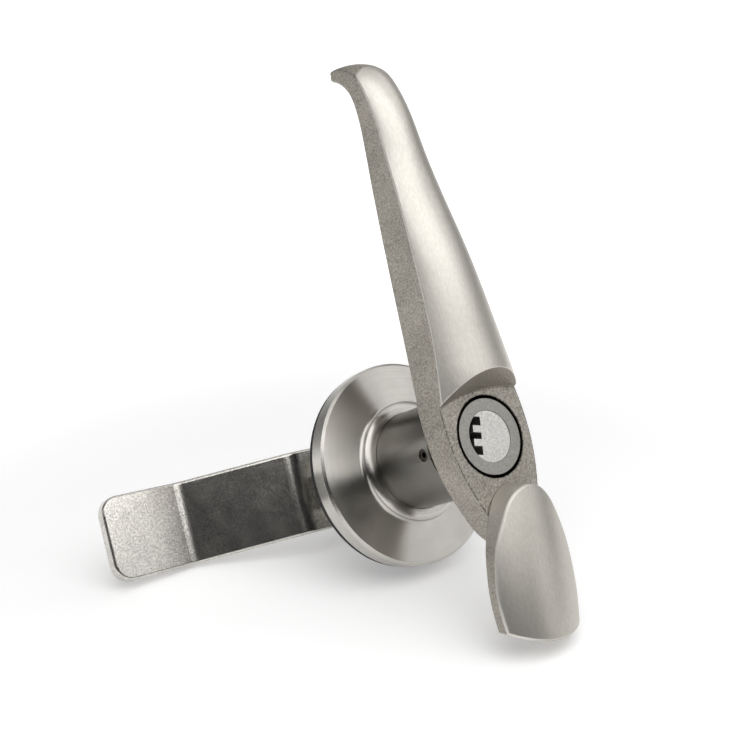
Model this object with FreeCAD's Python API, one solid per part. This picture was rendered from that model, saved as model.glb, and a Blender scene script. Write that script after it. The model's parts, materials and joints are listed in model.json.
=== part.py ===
import FreeCAD, Part
import math
import os

# Cabinet handle lock with a turning lever, a key cylinder under a swinging dust cover, and a bent cam.
# Frame: origin on the spindle axis at the door's front surface, +Z up along the lever,
# +X to the right seen from the front, +Y into the cabinet. All sizes are in millimetres.
# A depth called out_... is counted outwards from the door surface, so it is minus Y.

V = FreeCAD.Vector
SPINDLE = V(0, 1, 0)

# Running and seating clearances
running = 0.05
seat_gap = 0.02
slide_gap = 0.15
end_play = 0.05
overshoot = 1.0

# Rose: turned housing with its threaded barrel
rose_radius = 25.0
rose_rim_height = 4.7
rose_rise = 1.2
rose_edge_break = 0.4
rose_front_bevel = 0.6
collar_radius = 14.5
collar_height = 7.9
collar_cove = 1.1
collar_shoulder = 0.8
collar_lip = 12.7
gasket_thickness = 1.2
gasket_inset = 0.3
barrel_radius = 11.0
barrel_length = 17.4
barrel_across_flats = 20.4
socket_floor = 1.6

# Panel fasteners on the barrel
panel_thickness = 2.5
tooth_washer_thickness = 0.8
tooth_washer_radius = 14.0
nut_across_flats = 27.0
nut_height = 4.5
nut_bevel = 0.6

# Neck and spindle, one turned piece
neck_radius = 11.87
journal_radius = 8.0
thrust_washer_thickness = 0.7
spindle_square = 10.0
square_bevel = 0.6
ring_groove_depth = 0.7
ring_thickness = 1.0
ring_opening = 70.0
seal_section = 0.55
seal_depth = 3.0
spigot_radius = 10.2
spigot_length = 4.0

# Lever
out_lever_back = 29.1
out_flat = 37.2
lever_tip_z = -24.0
lever_top_z = 96.0
crown_ratio = 0.5
hook_crown_ratio = 0.1
crown_margin = 0.8
lever_hook_z = 85.0
head_top_z = 12.0
tip_round = 0.2
edge_round = 0.6
back_bevel = 0.5
hook_outer_radius = 10.6
hook_outer_centre = (80.9, 28.2)
hook_outer_sweep = (4.0, 86.0)
hook_inner_radius = 10.0
hook_inner_centre = (80.5, 23.7)
hook_inner_sweep = (2.0, 62.0)
hollow_wall = 2.4
hollow_low = 22.0
hollow_high = 72.0
hollow_floor = 36.2

# Key cylinder
cylinder_radius = 8.73
cylinder_length = 24.0
cylinder_recess = 0.15
surround_radius = 9.5
surround_depth = 3.0
plug_radius = 5.93
plug_recess = 0.3
plug_overhang = 2.0
keyway_depth = 22.0
keyway_height = 8.7
keyway_web = 1.35
keyway_prong = 2.25
keyway_outer_prong = 2.0
keyway_middle_prong = 1.5
cylinder_turn = 16.4
wafer_count = 5
wafer_thickness = 1.2
wafer_pitch = 3.0
wafer_width = 4.6
wafer_offset = -0.4
wafer_foot = -4.5
wafer_window = 5.2
clip_thickness = 0.8
clip_radius = 7.2
clip_groove_radius = 4.9
grub_radius = 1.45
grub_depth_out = 26.8
grub_z = 0.5
grub_hex = 1.3
grub_sink = 0.35

# Locking bolt and its crank
bolt_travel = 2.0
bolt_thickness = 2.55
bolt_width = 10.0
nose_width = 6.0
bolt_tail = 6.4
nose_retract = 0.3
crank_pin_radius = 1.2
crank_hub_radius = 2.9
crank_disc_radius = 4.6
crank_disc_thickness = 1.4
tenon_size = 4.2
tenon_depth = 2.0

# Dust cover, drawn hanging straight down, and its pivot
pivot_z = -17.5
cover_swing_open = 11.3
cover_reach = 27.5
cover_back_end = 6.5
cover_end_slope = 12.0
cover_bevel = 0.35
cover_lean = 2.6
cover_lean_length = 20.0
cover_lean_centre = 6.0
cover_end_half_width = 9.3
cover_shell_depth = 3.4
cover_pocket_width = 16.0
cover_pocket_rim = 3.2
cover_pocket_start = 7.0
cover_pocket_corner = 3.5
step_gap = 0.5
step_slope = 26.0
step_arc_radius = 50.0
pin_radius = 2.0
pin_groove_depth = 0.5
pin_clip_radius = 3.6
pin_clip_opening = 70.0
pin_pocket_radius = 3.9
pin_clip_thickness = 0.6
pin_spring_height = 0.7
pin_into_cover = 3.2

# Cam: bent strip on the square end
cam_gap = 0.4
cam_thickness = 3.0
cam_width = 21.0
cam_head_reach = 13.0
cam_head_corner = 8.0
cam_inner_bend = 17.5
cam_outer_bend = 41.5
cam_rise = 16.9
cam_length = 62.6
cam_corner = 4.5
cam_bend_radius = 4.0
cam_rim_round = 0.8
cam_play_angle = 3.7
cam_washer_radius = 9.0
cam_washer_thickness = 1.4
screw_radius = 3.0
screw_hex = 10.0
screw_head = 4.0
screw_reach = 11.0
spring_washer_radius = 5.4
spring_washer_height = 1.5
spring_washer_split = 1.0

# Turning stop between the stop disc and the barrel
turn_range = 90.0
stop_lug_angle = 40.0
stop_lug_radius = 10.9
stop_disc_radius = 9.0
stop_thickness = 3.4
stop_lug_centre = 135.0
stop_margin = 0.5

# Places worked out from the sizes above
out_rim_back = gasket_thickness
out_rim_front = out_rim_back + rose_rim_height
out_collar = out_rim_back + collar_height
out_socket = out_rim_back + socket_floor
out_neck_back = out_socket + thrust_washer_thickness + end_play
cam_depth = barrel_length + cam_gap
cam_tip_depth = cam_depth + cam_rise
stop_pocket_radius = stop_disc_radius + 0.2
stop_depth = cam_depth - stop_thickness
ring_depth = stop_depth - 1.8
out_cylinder = out_flat - cylinder_recess
out_cylinder_back = out_cylinder - cylinder_length
out_plug = out_flat - plug_recess
out_plug_back = out_cylinder_back - plug_overhang
out_clip = out_cylinder_back - end_play
out_bolt_back = out_neck_back + 0.8
out_bolt_front = out_bolt_back + bolt_thickness
out_pocket_back = out_bolt_back - end_play
out_pocket_front = out_bolt_front + 0.1
out_chamber = out_plug_back - crank_disc_thickness - 0.1
crank_throw = bolt_travel / math.sqrt(2)
out_cover = out_flat + slide_gap


# Points and plain bodies

def at(x, out, z):
    """A point at a depth counted outwards from the door surface."""
    return V(x, -out, z)


def rod(radius, front, back, x=0.0, z=0.0):
    """A round bar parallel to the spindle, from its front end to its back end."""
    return Part.makeCylinder(radius, front - back, at(x, front, z), SPINDLE)


def ring(outer, inner, front, back, x=0.0, z=0.0):
    """A washer or tube parallel to the spindle."""
    return rod(outer, front, back, x, z).cut(rod(inner, front + overshoot, back - overshoot, x, z))


def block(x_low, x_high, front, back, z_low, z_high):
    """A square-edged block."""
    return Part.makeBox(x_high - x_low, front - back, z_high - z_low, at(x_low, front, z_low))


def hexagon(across, front, back):
    """A hexagonal bar with flats facing up and down."""
    corner = across / math.sqrt(3)
    angles = [math.radians(60 * step) for step in range(7)]
    outline = Part.makePolygon([at(corner * math.cos(a), front, corner * math.sin(a)) for a in angles])
    return Part.Face(outline).extrude(SPINDLE * (front - back))


def turned(edges):
    """A solid of revolution about the spindle from closed profile edges."""
    return Part.Face(Part.Wire(edges)).revolve(V(0, 0, 0), SPINDLE, 360)


def line(start, end):
    """A straight edge."""
    return Part.LineSegment(start, end).toShape()


def arc(start, middle, end):
    """An arc edge through three points."""
    return Part.Arc(start, middle, end).toShape()


def path(points):
    """Straight edges through points in turn."""
    return [line(a, b) for a, b in zip(points, points[1:])]


def clock(radius, angle, out):
    """A point at a clock angle: clockwise from straight up, seen from the front."""
    turn = math.radians(angle)
    return at(radius * math.sin(turn), out, radius * math.cos(turn))


def sector(radius, angle_from, angle_to, front, back):
    """A pie slice between two clock angles."""
    middle = (angle_from + angle_to) / 2
    hub = at(0, front, 0)
    start = clock(radius, angle_from, front)
    end = clock(radius, angle_to, front)
    edges = [line(hub, start), arc(start, clock(radius, middle, front), end), line(end, hub)]
    return Part.Face(Part.Wire(edges)).extrude(SPINDLE * (front - back))


def drawn(edges, front, back):
    """An outline in the door's plane, drawn at its front depth and carried to its back depth."""
    return Part.Face(Part.Wire(edges)).extrude(SPINDLE * (front - back))


def rounded(shape, radius, wanted):
    """Rounds the edges for which the test holds."""
    edges = [edge for edge in shape.Edges if wanted(edge)]
    return shape.makeFillet(radius, edges)


def bevelled(shape, size, wanted):
    """Cuts the edges for which the test holds to a slope."""
    edges = [edge for edge in shape.Edges if wanted(edge)]
    return shape.makeChamfer(size, edges)


def midpoint(edge):
    """The point halfway along an edge."""
    return edge.valueAt((edge.FirstParameter + edge.LastParameter) / 2)


# Rose, its gasket and the panel fasteners

def make_rose_housing():
    """Turned rose with the barrel, the neck's socket, bolt notches and the turning stop."""
    bore = journal_radius + running
    rim_edge = rose_radius - rose_edge_break
    out_foot = out_rim_front + rose_rise
    cove_share = 1 - math.sqrt(0.5)
    foot = at(collar_radius + collar_cove, out_foot, 0)
    cove = at(collar_radius + collar_cove * cove_share, out_foot + collar_cove * cove_share, 0)
    wall = at(collar_radius, out_foot + collar_cove, 0)
    brow = at(collar_radius, out_collar - collar_shoulder, 0)
    brow_width = collar_radius - collar_lip
    brow_radius = (brow_width ** 2 + collar_shoulder ** 2) / (2 * collar_shoulder)
    half_brow = math.atan2(brow_width, brow_radius - collar_shoulder) / 2
    drop = brow_radius * (1 - math.cos(half_brow))
    shoulder = at(collar_lip + brow_radius * math.sin(half_brow), out_collar - drop, 0)
    lip = at(collar_lip, out_collar, 0)
    outer = path([
        at(bore, out_collar, 0),
        at(bore, -barrel_length, 0),
        at(barrel_radius - 0.5, -barrel_length, 0),
        at(barrel_radius, -barrel_length + 0.5, 0),
        at(barrel_radius, out_rim_back, 0),
        at(rim_edge, out_rim_back, 0),
        at(rose_radius, out_rim_back + rose_edge_break, 0),
        at(rose_radius, out_rim_front - rose_front_bevel, 0),
        at(rose_radius - rose_front_bevel, out_rim_front, 0),
        foot,
    ])
    outer += [arc(foot, cove, wall), line(wall, brow), arc(brow, shoulder, lip)]
    housing = turned(outer + [line(lip, at(bore, out_collar, 0))])
    housing = housing.cut(rod(neck_radius + 0.08, out_collar + overshoot, out_socket))
    housing = housing.cut(rod(stop_pocket_radius, -ring_depth + end_play * 2, -barrel_length - overshoot))
    first = stop_lug_centre - stop_lug_angle / 2 - stop_margin
    last = stop_lug_centre + turn_range + stop_lug_angle / 2 + stop_margin
    window = sector(barrel_radius + overshoot, first, last, -stop_depth, -barrel_length - overshoot)
    housing = housing.cut(window)
    half_flat = barrel_across_flats / 2
    reach = barrel_radius + overshoot
    for low, high in ((-reach, -half_flat), (half_flat, reach)):
        flat = block(low, high, out_rim_back - 1.0, -barrel_length - overshoot, -reach, reach)
        housing = housing.cut(flat)
    notch_reach = neck_radius - nose_retract + bolt_travel + 0.3
    half_notch = nose_width / 2 + slide_gap
    up = block(-half_notch, half_notch, out_pocket_front, out_pocket_back, 0, notch_reach)
    right = block(0, notch_reach, out_pocket_front, out_pocket_back, -half_notch, half_notch)
    clear = rod(neck_radius, out_collar + overshoot, out_socket)
    return housing.cut(up.fuse(right).cut(clear))


def make_panel_gasket():
    """Flat rubber seal between the rose and the door."""
    return ring(rose_radius - gasket_inset, barrel_radius + 0.3, out_rim_back, 0)


def make_tooth_washer():
    """Lock washer behind the panel, with teeth round its edge."""
    front = -panel_thickness
    back = front - tooth_washer_thickness
    washer = ring(tooth_washer_radius, barrel_radius + 0.2, front, back)
    teeth = 16
    for step in range(teeth):
        turn = 360 / teeth * step
        root = tooth_washer_radius - 1.2
        gap = block(-0.8, 0.8, front + overshoot, back - overshoot, root, tooth_washer_radius + overshoot)
        gap.rotate(V(0, 0, 0), SPINDLE, turn)
        washer = washer.cut(gap)
    return washer


def make_barrel_nut():
    """Thin hexagon nut on the barrel's thread."""
    front = -panel_thickness - tooth_washer_thickness
    back = front - nut_height
    nut = hexagon(nut_across_flats, front, back)
    corner = nut_across_flats / math.sqrt(3)
    slope = corner - nut_across_flats / 2
    profile = path([
        at(0, front, 0),
        at(corner - slope, front, 0),
        at(corner, front - nut_bevel, 0),
        at(corner, back + nut_bevel, 0),
        at(corner - slope, back, 0),
        at(0, back, 0),
        at(0, front, 0),
    ])
    nut = nut.common(turned(profile))
    return nut.cut(rod(barrel_radius + running, front + overshoot, back - overshoot))


def make_thrust_washer():
    """Plain bearing washer under the neck's shoulder."""
    outer = neck_radius - 0.2
    return ring(outer, journal_radius + 0.2, out_socket + thrust_washer_thickness, out_socket)


# Neck, spindle and what rides on them

def make_neck_shank():
    """Turned neck with the spindle, bored for the key cylinder, its crank and the locking bolt."""
    square_end = cam_depth + cam_thickness - 0.2
    groove = journal_radius - ring_groove_depth
    ring_back = ring_depth + ring_thickness + 0.1
    seal_floor = journal_radius - 2 * seal_section - seat_gap
    shank = rod(neck_radius, out_lever_back, out_neck_back)
    shank = shank.fuse(rod(spigot_radius, out_lever_back + spigot_length, out_lever_back))
    shank = shank.fuse(rod(journal_radius, out_neck_back, -stop_depth))
    half = spindle_square / 2
    square = block(-half, half, -stop_depth, -square_end, -half, half)
    square = rounded(square, square_bevel, lambda edge: abs(edge.tangentAt(edge.FirstParameter).y) > 0.9)
    shank = shank.fuse(square)
    shank = shank.cut(ring(journal_radius + overshoot, groove, -ring_depth, -ring_back))
    seal_front = -seal_depth + seal_section + 0.2
    seal_back = -seal_depth - seal_section - 0.2
    shank = shank.cut(ring(journal_radius + overshoot, seal_floor, seal_front, seal_back))
    cylinder_bore = cylinder_radius + seat_gap
    shank = shank.cut(rod(cylinder_bore, out_lever_back + spigot_length + overshoot, out_cylinder_back))
    shank = shank.cut(rod(clip_radius + 0.4, out_cylinder_back + overshoot, out_chamber))
    shank = shank.cut(rod(crank_hub_radius + 0.2, out_chamber + overshoot, out_pocket_front - overshoot))
    half_pocket = bolt_width / 2 + 0.1
    floor = -bolt_tail - 0.1
    mouth = neck_radius + overshoot
    pocket = block(-half_pocket, half_pocket, out_pocket_front, out_pocket_back, floor, mouth)
    shank = shank.cut(pocket)
    shank = shank.cut(rod(screw_radius, -square_end + screw_reach + 2, -square_end - overshoot))
    grub_start = at(-neck_radius - overshoot, grub_depth_out, grub_z)
    grub_hole = Part.makeCylinder(grub_radius, neck_radius, grub_start, V(1, 0, 0))
    shank = shank.cut(grub_hole)
    return shank.removeSplitter()


def make_grub_screw():
    """Socket grub screw in the neck, which holds the key cylinder."""
    start = at(-neck_radius + grub_sink, grub_depth_out, grub_z)
    length = neck_radius - grub_sink - cylinder_radius - 0.02
    screw = Part.makeCylinder(grub_radius - seat_gap, length, start, V(1, 0, 0))
    corner = grub_hex / math.sqrt(3)
    angles = [math.radians(60 * step) for step in range(7)]
    outline = [start + V(-0.1, corner * math.sin(a), corner * math.cos(a)) for a in angles]
    return screw.cut(Part.Face(Part.makePolygon(outline)).extrude(V(1.1, 0, 0)))


def make_seal_ring():
    """Rubber ring in the spindle's groove, against the barrel's bore."""
    middle = journal_radius - seal_section
    flat = seal_section * math.tan(math.pi / 8)
    corners = [(middle + flat, -seal_section), (middle + seal_section, -flat), (middle + seal_section, flat),
               (middle + flat, seal_section), (middle - flat, seal_section), (middle - seal_section, flat),
               (middle - seal_section, -flat), (middle - flat, -seal_section)]
    profile = [at(reach, -seal_depth + rise, 0) for reach, rise in corners]
    return turned(path(profile + profile[:1]))


def open_ring(outer, inner, front, back, opening, facing):
    """A flat spring ring with an opening that faces a clock angle."""
    clip = ring(outer, inner, front, back)
    half = opening / 2
    gap = sector(outer + overshoot, facing - half, facing + half, front + overshoot, back - overshoot)
    return clip.cut(gap)


def make_retaining_ring():
    """Spring ring that keeps the spindle in the barrel."""
    inner = journal_radius - ring_groove_depth + seat_gap
    front = -ring_depth - 0.05
    return open_ring(stop_disc_radius, inner, front, front - ring_thickness, ring_opening, 180)


def make_stop_disc():
    """Disc on the square with the lug that limits the quarter turn."""
    front = -stop_depth
    back = -cam_depth
    disc = rod(stop_disc_radius, front, back)
    half_lug = stop_lug_angle / 2
    lug = sector(stop_lug_radius, stop_lug_centre - half_lug, stop_lug_centre + half_lug, front - 0.1, back)
    disc = disc.fuse(lug)
    half = spindle_square / 2 + seat_gap
    disc = disc.cut(block(-half, half, front + overshoot, back - overshoot, -half, half))
    return disc.removeSplitter()


# Cam and its fasteners

def make_cam():
    """Strip bent twice, with a square hole in its head, rounded corners and a rolled front rim."""
    run = cam_outer_bend - cam_inner_bend
    shift = cam_thickness * math.tan(math.atan2(cam_rise, run) / 2)
    half = cam_width / 2
    front_face = [
        V(cam_head_reach, cam_depth, 0),
        V(-cam_inner_bend, cam_depth, 0),
        V(-cam_outer_bend, cam_tip_depth, 0),
        V(-cam_length, cam_tip_depth, 0),
    ]
    back_face = [
        V(-cam_length, cam_tip_depth + cam_thickness, 0),
        V(-cam_outer_bend - shift, cam_tip_depth + cam_thickness, 0),
        V(-cam_inner_bend - shift, cam_depth + cam_thickness, 0),
        V(cam_head_reach, cam_depth + cam_thickness, 0),
        V(cam_head_reach, cam_depth, 0),
    ]
    profile = Part.Face(Part.Wire(path(front_face + back_face)))
    profile.translate(V(0, 0, -half))
    strip = profile.extrude(V(0, 0, cam_width))
    outside_bend = cam_bend_radius + cam_thickness
    bends = ((front_face[1], outside_bend), (front_face[2], cam_bend_radius),
             (back_face[1], outside_bend), (back_face[2], cam_bend_radius))
    for corner, radius in bends:
        strip = rounded(strip, radius, lambda edge: bend_line(edge, corner))
    for x, radius in ((-cam_length, cam_corner), (cam_head_reach, cam_head_corner)):
        strip = rounded(strip, radius, lambda edge: upright_at(edge, x, half))
    rim = [edge for edge in strip.Edges if on_front_rim(edge, strip)]
    strip = strip.makeFillet(cam_rim_round, rim)
    strip.rotate(V(0, 0, 0), SPINDLE, cam_play_angle)
    hole = spindle_square / 2 + seat_gap
    return strip.cut(block(-hole, hole, 0, -2 * cam_depth, -hole, hole))


def on_front_rim(edge, strip):
    """True for an edge of the strip between its front and its sides."""
    if runs_deep(edge):
        return False
    walls = [abs(face.normalAt(0, 0).y) < 0.001 for face in strip.ancestorsOfType(edge, Part.Face)]
    middle = midpoint(edge)
    share = (-middle.x - cam_inner_bend) / (cam_outer_bend - cam_inner_bend)
    front = cam_depth + cam_rise * min(1.0, max(0.0, share))
    return any(walls) and not all(walls) and middle.y < front + cam_thickness / 2


def bend_line(edge, corner):
    """True for a cross edge of the strip at a bend's corner."""
    middle = midpoint(edge)
    return abs(middle.x - corner.x) < 0.01 and abs(middle.y - corner.y) < 0.01 and abs(middle.z) < 0.01


def upright_at(edge, x, z):
    """True for an edge parallel to the spindle at a place, above or below the middle."""
    middle = midpoint(edge)
    return runs_deep(edge) and abs(middle.x - x) < 0.01 and abs(abs(middle.z) - z) < 0.01


def runs_deep(edge):
    """True for a straight edge parallel to the spindle."""
    return abs(edge.tangentAt(edge.FirstParameter).y) > 0.99


def make_cam_washer():
    """Large plain washer behind the cam."""
    front = -cam_depth - cam_thickness
    return ring(cam_washer_radius, screw_radius + 0.2, front, front - cam_washer_thickness)


def make_spring_washer():
    """Split spring washer under the screw's head."""
    front = -cam_depth - cam_thickness - cam_washer_thickness
    back = front - spring_washer_height
    washer = ring(spring_washer_radius, screw_radius + 0.1, front, back)
    half = spring_washer_split / 2
    reach = spring_washer_radius + overshoot
    return washer.cut(block(-half, half, front + overshoot, back - overshoot, 0, reach))


def make_cam_screw():
    """Hexagon screw into the end of the spindle."""
    seat = -cam_depth - cam_thickness - cam_washer_thickness - spring_washer_height
    tip = -cam_depth - cam_thickness + screw_reach
    head = hexagon(screw_hex, seat, seat - screw_head)
    corner = screw_hex / math.sqrt(3)
    profile = path([
        at(0, seat, 0),
        at(corner, seat, 0),
        at(corner, seat - screw_head + 0.6, 0),
        at(corner - 1.0, seat - screw_head, 0),
        at(0, seat - screw_head, 0),
        at(0, seat, 0),
    ])
    head = head.common(turned(profile))
    return head.fuse(rod(screw_radius - seat_gap, tip, seat)).removeSplitter()


# Lever

def lever_outline():
    """Half widths of the lever from its top down to its lower tip."""
    return [
        (4.6, lever_top_z),
        (5.3, 79.0),
        (6.3, 60.0),
        (8.2, 40.0),
        (10.2, 20.0),
        (11.6, 9.2),
        (11.9, 1.0),
        (10.9, -7.0),
        (8.3, -15.4),
        (4.6, -21.8),
    ]


def half_width(z):
    """Half width of the lever at a height, between the outline's points."""
    rows = lever_outline()
    for (w_high, z_high), (w_low, z_low) in zip(rows, rows[1:]):
        if z_low <= z <= z_high:
            return w_low + (w_high - w_low) * (z - z_low) / (z_high - z_low)
    return rows[0][0]


def make_lever_plan():
    """Planform of the lever as a deep prism."""
    right = [at(w, 0, z) for w, z in lever_outline()]
    left = [at(-w, 0, z) for w, z in reversed(lever_outline())]
    curve = Part.BSplineCurve()
    curve.interpolate(right + [at(0, 0, lever_tip_z)] + left)
    edges = [curve.toShape(), line(left[-1], right[0])]
    plan = Part.Face(Part.Wire(edges))
    plan.translate(at(0, out_flat + 15, 0))
    return plan.extrude(SPINDLE * (out_flat + 15 - out_lever_back + 10))


def crowned_section(front, back, half, ratio):
    """Cross-section of the lever: flat back and sides under a crowned front. Points are (z, out)."""
    lift = V(0, back[1] - front[1], front[0] - back[0])
    lift.normalize()
    reach = half + crown_margin
    sagitta = ratio * half
    radius = (half * half + sagitta * sagitta) / (2 * sagitta)
    drop = radius - math.sqrt(radius * radius - reach * reach)
    edge = at(0, front[1], front[0])
    apex = edge + lift * sagitta
    side = apex - lift * drop
    low = at(0, back[1], back[0])
    across = V(reach, 0, 0)
    edges = path([side - across, low - across, low + across, side + across])
    edges.append(arc(side + across, apex, side - across))
    return Part.Wire(edges)


def make_lever_body():
    """Crowned lever with its hooked tip, as a loft through cross-sections."""
    straight = [
        (2.0, 36.2, 29.4),
        (14.0, 39.0, 29.4),
        (30.0, 40.2, 29.7),
        (50.0, 40.2, 30.7),
        (68.0, 39.6, 32.5),
    ]
    sections = []
    for z, edge, back in straight:
        sections.append(crowned_section((z, edge), (z, back), half_width(z), crown_ratio))
    steps = 5
    for step in range(steps):
        share = step / (steps - 1)
        front = on_circle(hook_outer_centre, hook_outer_radius, hook_outer_sweep, share)
        back = on_circle(hook_inner_centre, hook_inner_radius, hook_inner_sweep, share)
        ratio = crown_ratio + (hook_crown_ratio - crown_ratio) * share
        sections.append(crowned_section(front, back, half_width(front[0]), ratio))
    return Part.makeLoft(sections, True, False, False, 3)


def on_circle(centre, radius, sweep, share):
    """A (z, out) point along an arc of the lever's side view, swept from outwards to upwards."""
    turn = math.radians(sweep[0] + (sweep[1] - sweep[0]) * share)
    return centre[0] + radius * math.sin(turn), centre[1] + radius * math.cos(turn)


def make_hollow():
    """Casting pocket in the back of the lever."""
    low = half_width(hollow_low) - hollow_wall
    high = half_width(hollow_high) - hollow_wall
    corners = [at(-low, hollow_floor, hollow_low), at(low, hollow_floor, hollow_low)]
    corners += [at(high, hollow_floor, hollow_high), at(-high, hollow_floor, hollow_high)]
    pocket = drawn(path(corners + corners[:1]), hollow_floor, out_lever_back - overshoot)
    return rounded(pocket, high * 0.8, runs_deep)


def make_step():
    """Cone that cuts the crown's curved step, clear of the swinging dust cover."""
    depth = 1.0
    room = 15.0
    slope = math.tan(math.radians(step_slope))
    centre = pivot_z + cover_reach + step_gap - step_arc_radius
    narrow = step_arc_radius - depth * slope
    wide = step_arc_radius + room * slope
    return Part.makeCone(narrow, wide, depth + room, at(0, out_flat - depth, centre), -SPINDLE)


def make_lever():
    """Cast lever: flat head round the cylinder, crowned arm, hooked tip, bores for cylinder and pivot."""
    plan = make_lever_plan()
    arm = make_lever_body().common(plan)
    arm = rounded(arm, edge_round, is_crown_edge)
    arm = bevelled(arm, back_bevel, is_back_edge)
    arm = rounded(arm, tip_round, is_tip_edge)
    arm = arm.cut(block(-20, 20, out_flat, out_lever_back - overshoot, lever_tip_z, head_top_z))
    arm = arm.cut(make_step())
    arm = arm.cut(make_hollow())
    head = block(-20, 20, out_flat, out_lever_back, lever_tip_z - overshoot, head_top_z).common(plan)
    head = bevelled(head, back_bevel, is_head_back_edge)
    lever = arm.fuse(head)
    lever = lever.cut(rod(surround_radius, out_flat + overshoot, out_flat - surround_depth))
    lever = lever.cut(rod(cylinder_radius + seat_gap, out_flat, out_lever_back))
    behind = out_lever_back - overshoot
    lever = lever.cut(rod(spigot_radius + seat_gap, out_lever_back + spigot_length, behind))
    lever = lever.cut(rod(pin_radius + running, out_flat + overshoot, behind, 0, pivot_z))
    return lever.cut(rod(pin_pocket_radius, pocket_floor_out(), behind, 0, pivot_z))


def is_crown_edge(edge):
    """True for the long edges between the lever's crown and its sides."""
    return runs_along(edge) and -midpoint(edge).y > (out_lever_back + out_flat) / 2


def is_back_edge(edge):
    """True for the long edges between the lever's back and its sides."""
    return runs_along(edge) and -midpoint(edge).y < (out_lever_back + out_flat) / 2


def runs_along(edge):
    """True for an edge along most of the lever's arm."""
    return edge.BoundBox.ZLength > (lever_top_z - lever_tip_z) / 2


def is_tip_edge(edge):
    """True for the two cross edges at the end of the hook."""
    return edge.BoundBox.ZMin > lever_hook_z and edge.BoundBox.XLength > 8


def is_head_back_edge(edge):
    """True for the outline of the head at its back."""
    box = edge.BoundBox
    return abs(box.YMax + out_lever_back) < 0.01 and box.YLength < 0.01 and box.ZLength > 20


def pocket_floor_out():
    """Depth of the pocket's floor round the pivot pin, at the back of the lever's head."""
    return out_lever_back + 1.2 + pin_clip_thickness + pin_spring_height + 0.1


# Key cylinder

def make_cylinder_body():
    """Fixed sleeve of the key cylinder, with grooves for the wafers."""
    sleeve = ring(cylinder_radius, plug_radius + 0.04, out_cylinder, out_cylinder_back)
    length = wafer_pitch * (wafer_count - 1) + 3 * wafer_thickness
    front = out_plug - 4.5
    half = wafer_width / 2 + 0.2
    reach = plug_radius + 1.4
    grooves = block(wafer_offset - half, wafer_offset + half, front, front - length, -reach, reach)
    return sleeve.cut(set_round(grooves))


def set_round(shape):
    """Turns what belongs to the keyway to the way the cylinder is set in the neck."""
    shape.rotate(V(0, 0, 0), SPINDLE, cylinder_turn)
    return shape


def keyway():
    """Warded keyway: a slot along one side of the plug with three prongs."""
    back = out_plug - keyway_depth
    front = out_plug + overshoot
    half = keyway_height / 2
    root = -plug_radius + keyway_web
    tip = root + keyway_prong
    slot = block(-plug_radius - overshoot, root, front, back, -half, half)
    outer = half - keyway_outer_prong
    middle = keyway_middle_prong / 2
    for low, high in ((-half, -outer), (-middle, middle), (outer, half)):
        slot = slot.fuse(block(root - 0.1, tip, front, back, low, high))
    return set_round(slot)


def wafer_places():
    """Front depths of the wafers along the plug."""
    first = out_plug - 5.0
    return [first - wafer_pitch * step for step in range(wafer_count)]


def make_lock_plug():
    """Turning plug with its keyway, wafer slots, clip groove and the crank's square socket."""
    plug = rod(plug_radius, out_plug, out_plug_back)
    plug = plug.cut(keyway())
    low = wafer_offset - wafer_width / 2 - 0.05
    high = wafer_offset + wafer_width / 2 + 0.05
    for front in wafer_places():
        back = front - wafer_thickness - 0.1
        slot = block(low, high, front + 0.05, back, wafer_foot - 0.1, plug_radius + overshoot)
        plug = plug.cut(set_round(slot))
    groove_back = out_clip - clip_thickness - end_play
    plug = plug.cut(ring(plug_radius + overshoot, clip_groove_radius, out_clip, groove_back))
    half_tenon = tenon_size / 2 + seat_gap
    socket_end = out_plug_back + tenon_depth + 0.1
    socket = block(-half_tenon, half_tenon, socket_end, out_plug_back - overshoot, -half_tenon, half_tenon)
    return plug.cut(socket)


def make_wafers():
    """Tumbler plates lifted level with the plug, as a key holds them."""
    wafers = []
    low = wafer_offset - wafer_width / 2
    high = wafer_offset + wafer_width / 2
    half_window = wafer_window / 2
    for front in wafer_places():
        back = front - wafer_thickness
        plate = block(low, high, front, back, wafer_foot, plug_radius)
        plate = plate.common(rod(plug_radius - 0.05, out_plug, out_plug_back))
        window = block(low - overshoot, wafer_offset + 0.9, front + 1, back - 1, -half_window, half_window)
        wafers.append(plate.cut(window))
    return set_round(Part.makeCompound(wafers))


def make_plug_clip():
    """Spring clip behind the sleeve that keeps the plug in."""
    inner = clip_groove_radius + seat_gap
    return open_ring(clip_radius, inner, out_clip, out_clip - clip_thickness, 80, 90)


def make_plug_crank():
    """Crank on the plug: square tenon, disc, hub and an eccentric pin."""
    crank = rod(crank_disc_radius, out_plug_back, out_plug_back - crank_disc_thickness)
    half = tenon_size / 2
    tenon_end = out_plug_back + tenon_depth
    crank = crank.fuse(block(-half, half, tenon_end, out_plug_back, -half, half))
    crank = crank.fuse(rod(crank_hub_radius, out_plug_back, out_bolt_front + 0.3))
    throw = crank_throw / math.sqrt(2)
    crank = crank.fuse(rod(crank_pin_radius, out_bolt_front + 0.5, out_bolt_back + 0.2, -throw, -throw))
    return crank.removeSplitter()


def make_lock_bolt():
    """Sliding bolt in the neck, drawn in. The crank's pin works in its cross slot."""
    half = bolt_width / 2
    shoulder = journal_radius
    nose_tip = neck_radius - nose_retract
    bolt = block(-half, half, out_bolt_front, out_bolt_back, -bolt_tail + bolt_travel * 0.1, shoulder)
    half_nose = nose_width / 2
    bolt = bolt.fuse(block(-half_nose, half_nose, out_bolt_front, out_bolt_back, shoulder - 0.5, nose_tip))
    pin_x = -crank_throw / math.sqrt(2)
    pin_z = pin_x
    tall = crank_pin_radius + 0.15
    left = -crank_throw - tall - 0.2
    right = pin_x + tall + 0.4
    slot = block(left, right, out_bolt_front + 1, out_bolt_back - 1, pin_z - tall, pin_z + tall)
    return bolt.cut(slot).removeSplitter()


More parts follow.
